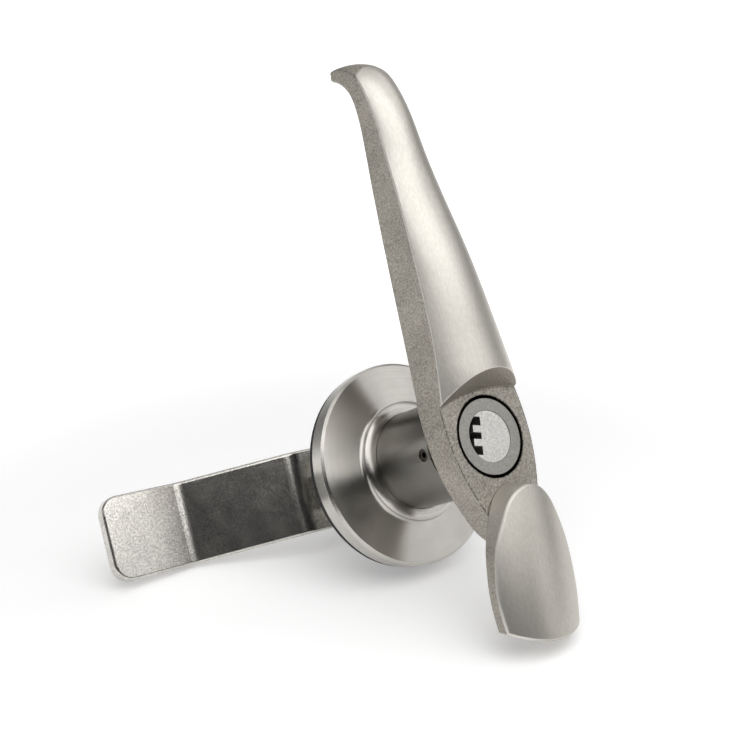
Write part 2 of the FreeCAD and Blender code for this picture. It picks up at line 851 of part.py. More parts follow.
# Dust cover and its pivot

def cover_outline():
    """Half widths of the cover from its pivot end to its wide end, by distance below the pivot."""
    return [
        (3.6, -5.4),
        (6.4, -2.8),
        (8.6, 1.8),
        (10.2, 6.5),
        (11.2, 12.5),
        (11.5, 18.0),
        (10.8, 24.3),
    ]


def cover_ring(out, lean):
    """Closed outline of the cover at a depth, drawn in round its pivot end and long at its wide end."""
    rows = []
    for wide, below in cover_outline():
        share = max(0.0, 1.0 - (below + cover_back_end) / cover_lean_length)
        pull = lean * share / math.hypot(wide, below - cover_lean_centre)
        rows.append((wide * (1 - pull), below + (cover_lean_centre - below) * pull))
    end_place = cover_reach + 4.0
    right = [at(w, out, pivot_z - d) for w, d in reversed(rows)]
    left = [at(-w, out, pivot_z - d) for w, d in rows]
    start = at(cover_end_half_width, out, pivot_z - end_place)
    end = at(-cover_end_half_width, out, pivot_z - end_place)
    curve = Part.BSplineCurve()
    curve.interpolate([start] + right + [at(0, out, pivot_z + cover_back_end - lean)] + left + [end])
    return Part.Wire([curve.toShape(), line(end, start)])


def make_cover_plan():
    """Leaf-shaped planform with sides that lean in towards the front at the pivot end."""
    back = cover_ring(out_cover, 0.0)
    front = cover_ring(out_cover + 12.0, cover_lean)
    return Part.makeLoft([back, front], True, True)


def make_cover_end():
    """Cone about the pivot that trims the wide end, so that it clears the crown's step."""
    narrow = cover_reach
    wide = narrow + 12 * math.tan(math.radians(cover_end_slope))
    return Part.makeCone(narrow, wide, 12, at(0, out_cover, pivot_z), -SPINDLE)


def make_cover_crown():
    """Crowned front of the cover, as a loft of arched sections along its length."""
    sections = []
    for below, half, wall, crown in ((-8.0, 6.5, 4.6, 1.5), (4.0, 9.5, 3.9, 2.8),
                                     (16.0, 11.5, 2.8, 4.2), (32.0, 10.3, 1.5, 4.6)):
        reach = half + crown_margin
        radius = (half * half + crown * crown) / (2 * crown)
        apex = out_cover + wall + crown
        low = apex - radius + math.sqrt(radius * radius - reach * reach)
        z = pivot_z - below
        corners = [(-reach, low), (-reach, out_cover), (reach, out_cover), (reach, low)]
        edges = path([at(x, out, z) for x, out in corners])
        edges.append(arc(at(reach, low, z), at(0, apex, z), at(-reach, low, z)))
        sections.append(Part.Wire(edges))
    return Part.makeLoft(sections, True, False, False, 3)


def make_dust_cover():
    """Cast dust cover, crowned in front and shelled behind, swung a little to one side."""
    cover = make_cover_crown().common(make_cover_plan())
    cover = cover.common(make_cover_end())
    cover = bevelled(cover, cover_bevel, is_cover_front_edge)
    floor = out_cover + cover_shell_depth
    half = cover_pocket_width / 2
    low = pivot_z - cover_reach + cover_pocket_rim
    pocket = block(-half, half, floor, out_cover - overshoot, low, pivot_z - cover_pocket_start)
    cover = cover.cut(rounded(pocket, cover_pocket_corner, runs_deep))
    cover = cover.cut(rod(pin_radius, out_cover + pin_into_cover, out_cover - overshoot, 0, pivot_z))
    return swung(cover)


def is_cover_front_edge(edge):
    """True for the rim between the cover's crown and its sides."""
    return edge.BoundBox.YMax < -out_cover - 0.5 and edge.Length > 6


def swung(shape):
    """Turns a shape with the cover from straight down to the way it hangs."""
    shape.rotate(at(0, 0, pivot_z), SPINDLE, cover_swing_open)
    return shape


def make_cover_pin():
    """Pivot pin, fast in the cover, grooved at the back for its clip."""
    end = out_lever_back + 0.6
    pin = rod(pin_radius, out_cover + pin_into_cover, end, 0, pivot_z)
    clip_back = out_lever_back + 1.2
    clip_front = clip_back + pin_clip_thickness
    inner = pin_radius - pin_groove_depth
    return pin.cut(ring(pin_radius + overshoot, inner, clip_front, clip_back, 0, pivot_z))


def make_pin_clip():
    """Small spring clip on the pivot pin."""
    clip_back = out_lever_back + 1.2
    clip_front = clip_back + pin_clip_thickness
    inner = pin_radius - pin_groove_depth + seat_gap
    clip = open_ring(pin_clip_radius, inner, clip_front, clip_back, pin_clip_opening, 90)
    clip.translate(V(0, 0, pivot_z))
    return clip


def make_pivot_spring():
    """Spring washer that gives the cover its drag."""
    front = pocket_floor_out()
    back = out_lever_back + 1.2 + pin_clip_thickness
    return ring(pin_clip_radius - 0.2, pin_radius + 0.1, front, back + 0.05, 0, pivot_z)


def main():
    """Builds every piece and writes one file for each."""
    os.makedirs("parts", exist_ok=True)
    pieces = {
        "rose_housing": make_rose_housing(),
        "panel_gasket": make_panel_gasket(),
        "tooth_washer": make_tooth_washer(),
        "barrel_nut": make_barrel_nut(),
        "thrust_washer": make_thrust_washer(),
        "neck_shank": make_neck_shank(),
        "cylinder_grub_screw": make_grub_screw(),
        "spindle_seal_ring": make_seal_ring(),
        "retaining_ring": make_retaining_ring(),
        "stop_disc": make_stop_disc(),
        "cam": make_cam(),
        "cam_washer": make_cam_washer(),
        "cam_spring_washer": make_spring_washer(),
        "cam_screw": make_cam_screw(),
        "lever": make_lever(),
        "cylinder_body": make_cylinder_body(),
        "lock_plug": make_lock_plug(),
        "wafers": make_wafers(),
        "plug_clip": make_plug_clip(),
        "plug_crank": make_plug_crank(),
        "lock_bolt": make_lock_bolt(),
        "dust_cover": make_dust_cover(),
        "cover_pin": make_cover_pin(),
        "pin_clip": make_pin_clip(),
        "pivot_spring": make_pivot_spring(),
    }
    for name, shape in pieces.items():
        box = shape.BoundBox
        print(name, len(shape.Solids), shape.isValid(), round(shape.Volume, 1),
              [round(v, 2) for v in (box.XMin, box.YMin, box.ZMin, box.XMax, box.YMax, box.ZMax)])
        shape.exportStep("parts/" + name + ".step")


main()
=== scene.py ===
import json
import math

import bmesh
import bpy
from mathutils import Matrix, Vector

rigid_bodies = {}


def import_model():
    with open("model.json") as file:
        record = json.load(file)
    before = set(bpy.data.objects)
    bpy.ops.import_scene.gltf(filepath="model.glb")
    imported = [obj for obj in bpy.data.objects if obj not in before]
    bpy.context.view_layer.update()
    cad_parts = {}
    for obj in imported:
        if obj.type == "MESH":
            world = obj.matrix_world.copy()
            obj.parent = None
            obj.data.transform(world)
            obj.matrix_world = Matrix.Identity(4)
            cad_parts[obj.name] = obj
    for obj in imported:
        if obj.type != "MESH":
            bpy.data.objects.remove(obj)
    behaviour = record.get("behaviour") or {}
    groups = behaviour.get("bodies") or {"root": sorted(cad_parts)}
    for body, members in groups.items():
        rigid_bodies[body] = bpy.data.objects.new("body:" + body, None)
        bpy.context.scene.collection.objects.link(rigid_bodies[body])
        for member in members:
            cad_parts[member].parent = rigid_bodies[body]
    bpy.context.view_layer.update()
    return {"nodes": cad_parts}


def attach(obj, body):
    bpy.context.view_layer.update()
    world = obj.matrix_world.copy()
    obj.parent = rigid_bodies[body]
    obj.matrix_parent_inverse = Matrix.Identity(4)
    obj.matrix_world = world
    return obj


# A cabinet handle lock lies on a white table, propped on its rose, its dust cover and its cam.
# Everything is in metres, in the model's own frame: +Z along the lever, -Y out of the door.
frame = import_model()
scene = bpy.context.scene
scene.view_settings.view_transform = "Standard"


# Camera: a short tele lens 0.3 m from the lock, out in front of the door and to its left.
# It is turned so that the round rose, neck and cylinder look as they do in the picture.
MM = 0.001
camera_place = Vector((-179.09, -238.48, 0.0)) * MM
camera_right = Vector((0.7713, -0.5580, -0.3063))
camera_down = Vector((-0.1994, 0.2451, -0.9488))
lens_mm = 57.6
sensor_mm = 36.0
nearest_seen = 10.0 * MM
camera_data = bpy.data.cameras.new("camera")
camera_data.lens = lens_mm
camera_data.sensor_width = sensor_mm
camera_data.clip_start = nearest_seen
camera = bpy.data.objects.new("camera", camera_data)
scene.collection.objects.link(camera)
right = camera_right.normalized()
up = -(camera_down - right * camera_down.dot(right)).normalized()
turn = Matrix((right, up, right.cross(up))).transposed()
camera.matrix_world = Matrix.Translation(camera_place) @ turn.to_4x4()
scene.camera = camera


# Table: a white sheet of paper under the object, which carries its soft shadow.
# It is tilted in the model's frame, because the lock lies on its rose, cover and cam.
# It glows faintly under the lock and more farther out, where it runs into the white background.
table_normal = Vector((-0.029, -0.477, 0.878)).normalized()
table_clearance = 0.1 * MM
table_half_width = 1.5
glow_near, glow_near_reach = 0.28, 90.0 * MM
glow_far, glow_far_reach = 0.80, 300.0 * MM


def linear(code):
    """A colour for a node socket from an sRGB hex value."""
    parts = [int(code[i:i + 2], 16) / 255 for i in (1, 3, 5)]
    return [c / 12.92 if c <= 0.04045 else ((c + 0.055) / 1.055) ** 2.4 for c in parts] + [1.0]


def add(tree, kind, inputs=None, **settings):
    """Adds a node; an input is a plain value or another node's output socket.

    A Mix node takes its share at input 0, two numbers at 2 and 3, and two colours at 6 and 7.
    """
    node = tree.nodes.new("ShaderNode" + kind)
    for name, value in settings.items():
        setattr(node, name, value)
    for name, value in (inputs or {}).items():
        if isinstance(value, bpy.types.NodeSocket):
            tree.links.new(value, node.inputs[name])
        else:
            node.inputs[name].default_value = value
    return node


def new_material(name):
    """An empty node material."""
    material = bpy.data.materials.new(name)
    material.use_nodes = True
    material.node_tree.nodes.clear()
    return material, material.node_tree


def finish_material(tree, shader):
    """Links the last shader to the material's output."""
    add(tree, "OutputMaterial", {"Surface": shader.outputs[0]})


lowest = min(
    table_normal.dot(o.matrix_world @ v.co)
    for o in scene.objects if o.type == "MESH" for v in o.data.vertices
)
table_mesh = bpy.data.meshes.new("table")
sheet = bmesh.new()
bmesh.ops.create_grid(sheet, x_segments=1, y_segments=1, size=table_half_width)
tilt = Vector((0, 0, 1)).rotation_difference(table_normal).to_matrix().to_4x4()
drop = Matrix.Translation(table_normal * (lowest - table_clearance))
bmesh.ops.transform(sheet, matrix=drop @ tilt, verts=sheet.verts)
sheet.to_mesh(table_mesh)
sheet.free()
table = bpy.data.objects.new("table", table_mesh)
scene.collection.objects.link(table)
paper, tree = new_material("white_paper")
place = add(tree, "TexCoord")
distance = add(tree, "VectorMath", {0: place.outputs["Object"]}, operation="LENGTH")
strength = add(tree, "MapRange", {
    "Value": distance.outputs["Value"],
    "From Min": glow_near_reach,
    "From Max": glow_far_reach,
    "To Min": glow_near,
    "To Max": glow_far,
}, interpolation_type="SMOOTHSTEP")
white = add(tree, "BsdfDiffuse", {"Color": linear("#F4F4F4")})
glow = add(tree, "Emission", {"Color": linear("#FFFFFF"), "Strength": strength.outputs[0]})
lit = add(tree, "AddShader", {0: white.outputs[0], 1: glow.outputs[0]})
clear = add(tree, "BsdfTransparent")
geometry = add(tree, "NewGeometry")
one_sided = add(tree, "MixShader", {
    0: geometry.outputs["Backfacing"],
    1: lit.outputs[0],
    2: clear.outputs[0],
})
finish_material(tree, one_sided)
table_mesh.materials.append(paper)


# Light: a dim room with soft bright panels, because steel shows only what surrounds it,
# and one oval lamp over the camera, whose picture is the highlight along the lever.
# Directions are angles in degrees to the right and up from the line back to the camera.
room_level = 0.04
behind_fade = (30.0, 45.0)
lever_middle = Vector((0.0, -0.042, 0.045))
lamp_bearing = (12.0, 38.0)
lamp_distance = 0.30
lamp_wide, lamp_high = 0.56, 0.34
lamp_radiance = 1.75
hood_radius = 75.0 * MM
hood_gap = 4.0 * MM


def from_camera(across, high):
    """Unit vector at angles in degrees to the right and up from the way back to the camera."""
    lean = math.radians(math.hypot(across, high))
    side = (right * across + up * high).normalized()
    return right.cross(up) * math.cos(lean) + side * math.sin(lean)


def panel(tree, sight, towards, inner, outer, strength):
    """Brightness of a round soft panel that fades between two angles from its middle."""
    centre = add(tree, "VectorMath", {
        0: sight.outputs["Generated"],
        1: towards,
    }, operation="DOT_PRODUCT")
    return add(tree, "MapRange", {
        "Value": centre.outputs["Value"],
        "From Min": math.cos(math.radians(outer)),
        "From Max": math.cos(math.radians(inner)),
        "To Min": 0.0,
        "To Max": strength,
    }, interpolation_type="SMOOTHSTEP")


# Each panel has its direction, the two angles of its fade, and its strength.
panels = [
    (from_camera(-115.0, 60.0), 15.0, 50.0, 0.10),
    (from_camera(-85.0, 6.0), 9.0, 21.0, 0.95),
    (from_camera(-40.0, 30.0), 8.0, 32.0, 0.60),
    (from_camera(0.0, 90.0), 20.0, 45.0, 0.80),
    (from_camera(60.0, 70.0), 8.0, 24.0, 0.90),
    (from_camera(68.0, 25.0), 11.0, 21.0, 1.10),
    (from_camera(112.0, 45.0), 15.0, 50.0, 0.22),
]
world = bpy.data.worlds.new("studio")
scene.world = world
world.use_nodes = True
tree = world.node_tree
tree.nodes.clear()
sight = add(tree, "TexCoord")
level = room_level
for towards, inner, outer, strength in panels:
    glow = panel(tree, sight, towards, inner, outer, strength)
    level = add(tree, "Math", {0: level, 1: glow.outputs[0]}, operation="ADD").outputs[0]
studio = add(tree, "Background", {"Color": linear("#FFFFFF"), "Strength": level})

# The camera sees plain white, and so does metal where it looks on past the object.
seen = add(tree, "Background", {"Color": linear("#FFFFFF"), "Strength": 1.0})
path_kind = add(tree, "LightPath")
behind = panel(tree, sight, from_camera(180.0, 0.0), behind_fade[0], behind_fade[1], 1.0)
returned = add(tree, "Math", {
    0: path_kind.outputs["Is Glossy Ray"],
    1: path_kind.outputs["Is Transmission Ray"],
}, operation="ADD")
mirrored = add(tree, "Math", {0: returned.outputs[0], 1: behind.outputs[0]}, operation="MULTIPLY")
shown = add(tree, "Math", {
    0: path_kind.outputs["Is Camera Ray"],
    1: mirrored.outputs[0],
}, operation="MAXIMUM")
sky = add(tree, "MixShader", {0: shown.outputs[0], 1: studio.outputs[0], 2: seen.outputs[0]})
add(tree, "OutputWorld", {"Surface": sky.outputs[0]})

lamp_data = bpy.data.lights.new("key_window", "AREA")
lamp_data.shape = "ELLIPSE"
lamp_data.size = lamp_wide
lamp_data.size_y = lamp_high
lamp_data.energy = lamp_radiance * lamp_wide * lamp_high * math.pi / 4 * math.pi
lamp = bpy.data.objects.new("key_window", lamp_data)
scene.collection.objects.link(lamp)
towards = from_camera(*lamp_bearing)
side = (right - towards * right.dot(towards)).normalized()
turn = Matrix((side, towards.cross(side), towards)).transposed()
lamp.matrix_world = Matrix.Translation(lever_middle + towards * lamp_distance) @ turn.to_4x4()
lamp.visible_camera = False

# A black cloth round the lens, which the steel mirrors and nothing else sees.
black, tree = new_material("black_cloth")
shader = add(tree, "BsdfDiffuse", {"Color": linear("#0A0A0A")})
finish_material(tree, shader)
hood_mesh = bpy.data.meshes.new("camera_hood")
disc = bmesh.new()
bmesh.ops.create_circle(disc, cap_ends=True, segments=48, radius=hood_radius)
disc.to_mesh(hood_mesh)
disc.free()
hood_mesh.materials.append(black)
hood = bpy.data.objects.new("camera_hood", hood_mesh)
scene.collection.objects.link(hood)
hood.matrix_world = camera.matrix_world @ Matrix.Translation((0, 0, hood_gap))
for ray in ("camera", "diffuse", "shadow", "transmission"):
    setattr(hood, "visible_" + ray, False)


# Rose: turned from stainless bar on a lathe, with a cove up to its raised collar round the neck.
# Its turning rings stretch each highlight outwards, so that it shows light and dark sectors.
# The real rings lie about 0.1 mm apart and are drawn coarser, so that they show.
rose_ring_mm = 0.5
turned_ring_depth_mm = 0.02
turned_cloud_mm = 5.0
turned_rounding_mm = 0.15
turned_roughness = 0.25
turned_stretch = 0.95
quarter_turn = 0.25


def turned_steel(name, colour, ring_mm):
    """Lathe-turned stainless steel about the spindle axis."""
    material, tree = new_material(name)
    place = add(tree, "TexCoord")
    around = add(tree, "VectorMath", {
        0: place.outputs["Object"],
        1: (0, 1, 0),
    }, operation="CROSS_PRODUCT")
    tangent = add(tree, "VectorTransform", {"Vector": around.outputs[0]},
                  vector_type="VECTOR", convert_from="OBJECT", convert_to="WORLD")
    flat = add(tree, "VectorMath", {
        0: place.outputs["Object"],
        1: (1, 0, 1),
    }, operation="MULTIPLY")
    reach = add(tree, "VectorMath", {0: flat.outputs[0]}, operation="LENGTH")
    depth = add(tree, "SeparateXYZ", {"Vector": place.outputs["Object"]})
    along = add(tree, "Math", {0: reach.outputs["Value"], 1: depth.outputs["Y"]}, operation="ADD")
    ring_line = add(tree, "CombineXYZ", {"X": along.outputs[0]})
    rings = add(tree, "TexNoise", {
        "Vector": ring_line.outputs[0],
        "Scale": 1 / (ring_mm * MM),
        "Detail": 3.0,
    })
    cloud = add(tree, "TexNoise", {
        "Vector": place.outputs["Object"],
        "Scale": 1 / (turned_cloud_mm * MM),
        "Detail": 3.0,
    })
    mixed = add(tree, "Math", {0: rings.outputs["Fac"], 1: cloud.outputs["Fac"]}, operation="ADD")
    shade = add(tree, "MapRange", {
        "Value": mixed.outputs[0],
        "From Min": 0.6,
        "From Max": 1.4,
        "To Min": 0.88,
        "To Max": 1.06,
    }, clamp=False)
    tint = add(tree, "Mix", {
        0: 1.0,
        6: linear(colour),
        7: shade.outputs[0],
    }, data_type="RGBA", blend_type="MULTIPLY")
    gloss = add(tree, "MapRange", {
        "Value": mixed.outputs[0],
        "From Min": 0.6,
        "From Max": 1.4,
        "To Min": turned_roughness * 1.06,
        "To Max": turned_roughness * 0.94,
    }, clamp=False)
    rounded = add(tree, "Bevel", {"Radius": turned_rounding_mm * MM}, samples=4)
    bump = add(tree, "Bump", {
        "Strength": 0.25,
        "Distance": turned_ring_depth_mm * MM,
        "Height": rings.outputs["Fac"],
        "Normal": rounded.outputs[0],
    })
    shader = add(tree, "BsdfPrincipled", {
        "Base Color": tint.outputs[2],
        "Metallic": 1.0,
        "Roughness": gloss.outputs[0],
        "Anisotropic": turned_stretch,
        "Anisotropic Rotation": quarter_turn,
        "Tangent": tangent.outputs[0],
        "Normal": bump.outputs[0],
    })
    finish_material(tree, shader)
    return material


def dress(node, material):
    """Gives a frame node its material."""
    mesh = frame["nodes"][node].data
    mesh.materials.clear()
    mesh.materials.append(material)


rose_steel = turned_steel("turned_stainless_rose", "#C9C6C0", rose_ring_mm)
dress("rose_housing", rose_steel)


# Barrel thread: a fine M22 thread, rolled on the rose's barrel and cut away by its two flats.
# The frame's barrel is plain, so the thread's ridge stands on it.
thread_pitch = 1.5 * MM
thread_start = 1.0 * MM
thread_end = 14.5 * MM
thread_root = 10.95 * MM
thread_crest = 11.18 * MM
root_half = 0.45 * thread_pitch
crest_half = 0.08 * thread_pitch
barrel_half_flat = 10.2 * MM
steps_per_turn = 60
ridge = bmesh.new()
corners = [
    (thread_root, -root_half),
    (thread_crest, -crest_half),
    (thread_crest, crest_half),
    (thread_root, root_half),
]
verts = [ridge.verts.new((0, thread_start + shift, reach)) for reach, shift in corners]
section = ridge.faces.new(verts)
thread_length = thread_end - thread_start
turns = thread_length / thread_pitch
steps = int(steps_per_turn * turns)
bmesh.ops.spin(ridge, geom=[section], cent=(0, 0, 0), axis=(0, 1, 0),
               dvec=(0, thread_length / steps, 0), angle=2 * math.pi * turns,
               steps=steps, use_merge=False)
for side in (-1, 1):
    bmesh.ops.bisect_plane(ridge, geom=ridge.verts[:] + ridge.edges[:] + ridge.faces[:],
                           plane_co=(side * barrel_half_flat, 0, 0), plane_no=(side, 0, 0),
                           clear_outer=True)
open_edges = [edge for edge in ridge.edges if edge.is_boundary]
bmesh.ops.holes_fill(ridge, edges=open_edges, sides=0)
bmesh.ops.recalc_face_normals(ridge, faces=ridge.faces)
thread_mesh = bpy.data.meshes.new("barrel_thread")
ridge.to_mesh(thread_mesh)
ridge.free()
thread = bpy.data.objects.new("barrel_thread", thread_mesh)
scene.collection.objects.link(thread)
thread_mesh.materials.append(rose_steel)
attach(thread, "rose")


# Gasket and seal ring: black rubber. The gasket is cut from sheet and pressed between the rose
# and the door, and the ring is moulded. Both look soft, dark and without gloss.
rubber_grain_mm = 0.6
rubber_relief_mm = 0.05
rubber, tree = new_material("black_rubber")
place = add(tree, "TexCoord")
grain = add(tree, "TexNoise", {
    "Vector": place.outputs["Object"],
    "Scale": 1 / (rubber_grain_mm * MM),
    "Detail": 3.0,
})
bump = add(tree, "Bump", {
    "Strength": 0.3,
    "Distance": rubber_relief_mm * MM,
    "Height": grain.outputs["Fac"],
})
shader = add(tree, "BsdfPrincipled", {
    "Base Color": linear("#1B1B1C"),
    "Roughness": 0.7,
    "Normal": bump.outputs[0],
})
finish_material(tree, shader)
dress("panel_gasket", rubber)
dress("spindle_seal_ring", rubber)


# Neck: turned from stainless bar in one piece with the spindle behind it, and held in the rose
# by a clip. Its turned skin is finer than the rose's, and its darker colour is painted shade
# for the dark surroundings that it mirrors.
neck_ring_mm = 0.4
neck_steel = turned_steel("turned_stainless_neck", "#7E7B76", neck_ring_mm)
dress("neck_shank", neck_steel)


# Lever and dust cover: cast stainless, the crowned fronts brushed lengthwise to a bright satin.
# The flat head, the step and the side walls keep the darker, speckled grain of the blasting.
# The step's wall also gets painted shade, and the crown's edges wear with a painted glint.
# Real brush lines and grit are 0.1 to 0.2 mm, and are drawn coarser, so that they show.
head_face_mm = 37.3
brush_line_mm = 0.35
brush_stretch = 0.3
grit_mm = 0.45
grit_relief_mm = 0.18
cast_cloud_mm = 9.0
cast_rounding_mm = 0.4
blasted_roughness = 0.58
satin_roughness = 0.42
worn_roughness = 0.38
blasted_colour = "#ABA69D"
# Lighter colour of the crown's edges and fillets: wear, with a painted glint.
rubbed_and_glint_colour = "#DAD7D0"
# Painted shade on the step's wall, which looks down under the crown.
step_shade_colour = "#8C867C"
# Colour of the pitted dark line painted along the edge of the head's flat.
dark_line_colour = "#4A4640"
# Near black, as painted shade in the groove round the key cylinder.
groove_shade_colour = "#141312"
groove_radius_mm = 9.6
groove_top_mm = 37.15
groove_fade_mm = 0.4


def cast_steel(name, satin, with_head):
    """Cast stainless steel, satin on its crown and blasted elsewhere.

    With a head, it also paints shade on the cast step's wall and in the groove round the cylinder,
    and a dark pitted line along the head's flat.
    """
    material, tree = new_material(name)
    place = add(tree, "TexCoord")
    facing = add(tree, "SeparateXYZ", {"Vector": place.outputs["Normal"]})
    depth = add(tree, "SeparateXYZ", {"Vector": place.outputs["Object"]})

    # The crown faces outwards and stands proud of the head's flat; the step's wall looks down.
    outward = add(tree, "MapRange", {
        "Value": facing.outputs["Y"],
        "From Min": -0.22,
        "From Max": -0.42,
    }, interpolation_type="SMOOTHSTEP")
    proud = add(tree, "MapRange", {
        "Value": depth.outputs["Y"],
        "From Min": -head_face_mm * MM,
        "From Max": -(head_face_mm + 0.3) * MM,
    })
    above_step = add(tree, "MapRange", {
        "Value": facing.outputs["Z"],
        "From Min": -0.45,
        "From Max": -0.3,
    })
    raised = add(tree, "Math", {0: outward.outputs[0], 1: proud.outputs[0]}, operation="MULTIPLY")
    crown = add(tree, "Math", {
        0: raised.outputs[0],
        1: above_step.outputs[0],
    }, operation="MULTIPLY")

    # Brush lines on the crown and grit elsewhere, in relief and in tone.
    lengthwise = add(tree, "VectorMath", {
        0: place.outputs["Object"],
        1: (1.0, 1.0, brush_stretch),
    }, operation="MULTIPLY")
    brush = add(tree, "TexNoise", {
        "Vector": lengthwise.outputs[0],
        "Scale": 1 / (brush_line_mm * MM),
        "Detail": 2.0,
    })
    grit = add(tree, "TexNoise", {
        "Vector": place.outputs["Object"],
        "Scale": 1 / (grit_mm * MM),
        "Detail": 2.0,
    })
    cloud = add(tree, "TexNoise", {
        "Vector": place.outputs["Object"],
        "Scale": 1 / (cast_cloud_mm * MM),
        "Detail": 3.0,
    })
    fine = add(tree, "Mix", {0: crown.outputs[0], 2: grit.outputs["Fac"], 3: brush.outputs["Fac"]})
    relief = add(tree, "MapRange", {"Value": crown.outputs[0], "To Min": 1.0, "To Max": 0.04})
    rounded = add(tree, "Bevel", {"Radius": cast_rounding_mm * MM}, samples=6)
    bump = add(tree, "Bump", {
        "Strength": relief.outputs[0],
        "Distance": grit_relief_mm * MM,
        "Height": fine.outputs[0],
        "Normal": rounded.outputs[0],
    })
    speckle = add(tree, "Mix", {0: 0.25, 2: fine.outputs[0], 3: cloud.outputs["Fac"]})
    swing = add(tree, "MapRange", {"Value": crown.outputs[0], "To Min": 2.0, "To Max": 0.45})
    centred = add(tree, "Math", {0: speckle.outputs[0], 1: 0.5}, operation="SUBTRACT")
    shade = add(tree, "Math", {
        0: centred.outputs[0],
        1: swing.outputs[0],
        2: 0.98,
    }, operation="MULTIPLY_ADD")
    tone = add(tree, "Mix", {
        0: crown.outputs[0],
        6: linear(blasted_colour),
        7: linear(satin),
    }, data_type="RGBA")
    tint = add(tree, "Mix", {
        0: 1.0,
        6: tone.outputs[2],
        7: shade.outputs[0],
    }, data_type="RGBA", blend_type="MULTIPLY")

    # The crown's edges and its fillets are painted lighter: partly wear from rubbing, partly a
    # painted glint.
    surface = add(tree, "NewGeometry")
    bent = add(tree, "VectorMath", {
        0: rounded.outputs[0],
        1: surface.outputs["True Normal"],
    }, operation="DOT_PRODUCT")
    edge = add(tree, "MapRange", {
        "Value": bent.outputs["Value"],
        "From Min": 0.995,
        "From Max": 0.965,
    })
    fillet_in = add(tree, "MapRange", {
        "Value": facing.outputs["Y"],
        "From Min": -0.04,
        "From Max": -0.14,
    })
    fillet_out = add(tree, "MapRange", {
        "Value": facing.outputs["Y"],
        "From Min": -0.58,
        "From Max": -0.48,
    })
    fillet = add(tree, "Math", {
        0: fillet_in.outputs[0],
        1: fillet_out.outputs[0],
    }, operation="MULTIPLY")
    rim = add(tree, "Math", {0: edge.outputs[0], 1: fillet.outputs[0]}, operation="MAXIMUM")
    worn_and_glint = add(tree, "Math", {0: rim.outputs[0], 1: proud.outputs[0]}, operation="MULTIPLY")
    rubbed_and_glint = add(tree, "Mix", {
        0: worn_and_glint.outputs[0],
        6: tint.outputs[2],
        7: linear(rubbed_and_glint_colour),
    }, data_type="RGBA")
    colour = rubbed_and_glint.outputs[2]

    if with_head:
        # The step's wall, which looks down under the crown, is painted darker as painted shade.
        shaded_step_wall = add(tree, "Math", {
            0: raised.outputs[0],
            1: crown.outputs[0],
        }, operation="SUBTRACT")
        shaded_step = add(tree, "Mix", {
            0: shaded_step_wall.outputs[0],
            6: colour,
            7: linear(step_shade_colour),
        }, data_type="RGBA")

        # A pitted dark line is painted along the edge of the head's flat.
        front = add(tree, "MapRange", {
            "Value": depth.outputs["Y"],
            "From Min": -(head_face_mm - 0.9) * MM,
            "From Max": -(head_face_mm - 0.5) * MM,
        })
        flush = add(tree, "Math", {0: front.outputs[0], 1: proud.outputs[0]}, operation="SUBTRACT")
        pitted = add(tree, "MapRange", {
            "Value": grit.outputs["Fac"],
            "From Min": 0.62,
            "From Max": 0.5,
        })
        flush_edge = add(tree, "Math", {
            0: edge.outputs[0],
            1: flush.outputs[0],
        }, operation="MULTIPLY")
        dark_line = add(tree, "Math", {
            0: flush_edge.outputs[0],
            1: pitted.outputs[0],
        }, operation="MULTIPLY")
        dark_lined = add(tree, "Mix", {
            0: dark_line.outputs[0],
            6: shaded_step.outputs[2],
            7: linear(dark_line_colour),
        }, data_type="RGBA")

        # The groove round the key cylinder is painted near black, as painted shade in the recess.
        flat = add(tree, "VectorMath", {
            0: place.outputs["Object"],
            1: (1, 0, 1),
        }, operation="MULTIPLY")
        reach = add(tree, "VectorMath", {0: flat.outputs[0]}, operation="LENGTH")
        near = add(tree, "Math", {
            0: reach.outputs["Value"],
            1: groove_radius_mm * MM,
        }, operation="LESS_THAN")
        sunk = add(tree, "MapRange", {
            "Value": depth.outputs["Y"],
            "From Min": -groove_top_mm * MM,
            "From Max": -(groove_top_mm - groove_fade_mm) * MM,
        })
        groove_shade = add(tree, "Math", {0: near.outputs[0], 1: sunk.outputs[0]}, operation="MULTIPLY")
        shaded_groove = add(tree, "Mix", {
            0: groove_shade.outputs[0],
            6: dark_lined.outputs[2],
            7: linear(groove_shade_colour),
        }, data_type="RGBA")
        colour = shaded_groove.outputs[2]

    finish_gloss = add(tree, "MapRange", {
        "Value": crown.outputs[0],
        "To Min": blasted_roughness,
        "To Max": satin_roughness,
    })
    gloss = add(tree, "Mix", {0: worn_and_glint.outputs[0], 2: finish_gloss.outputs[0], 3: worn_roughness})
    shader = add(tree, "BsdfPrincipled", {
        "Base Color": colour,
        "Metallic": 1.0,
        "Roughness": gloss.outputs[0],
        "Normal": bump.outputs[0],
    })
    finish_material(tree, shader)
    return material


lever_steel = cast_steel("brushed_and_blasted_lever", "#D2CEC6", True)
cover_steel = cast_steel("brushed_and_blasted_cover", "#C4C0B8", False)
dress("lever", lever_steel)
dress("dust_cover", cover_steel)


# Key cylinder: a plated sleeve and a brighter plug, both blasted fine before plating,
# so that they look even and softly bright, with five stamped brass plates in the plug.
# Their grain is drawn coarser than real, so that it shows.
blasted_cloud_mm = 6.0
blasted_relief_mm = 0.05
blasted_rounding_mm = 0.12
plate_roughness = 0.36
plate_grain_mm = 0.4


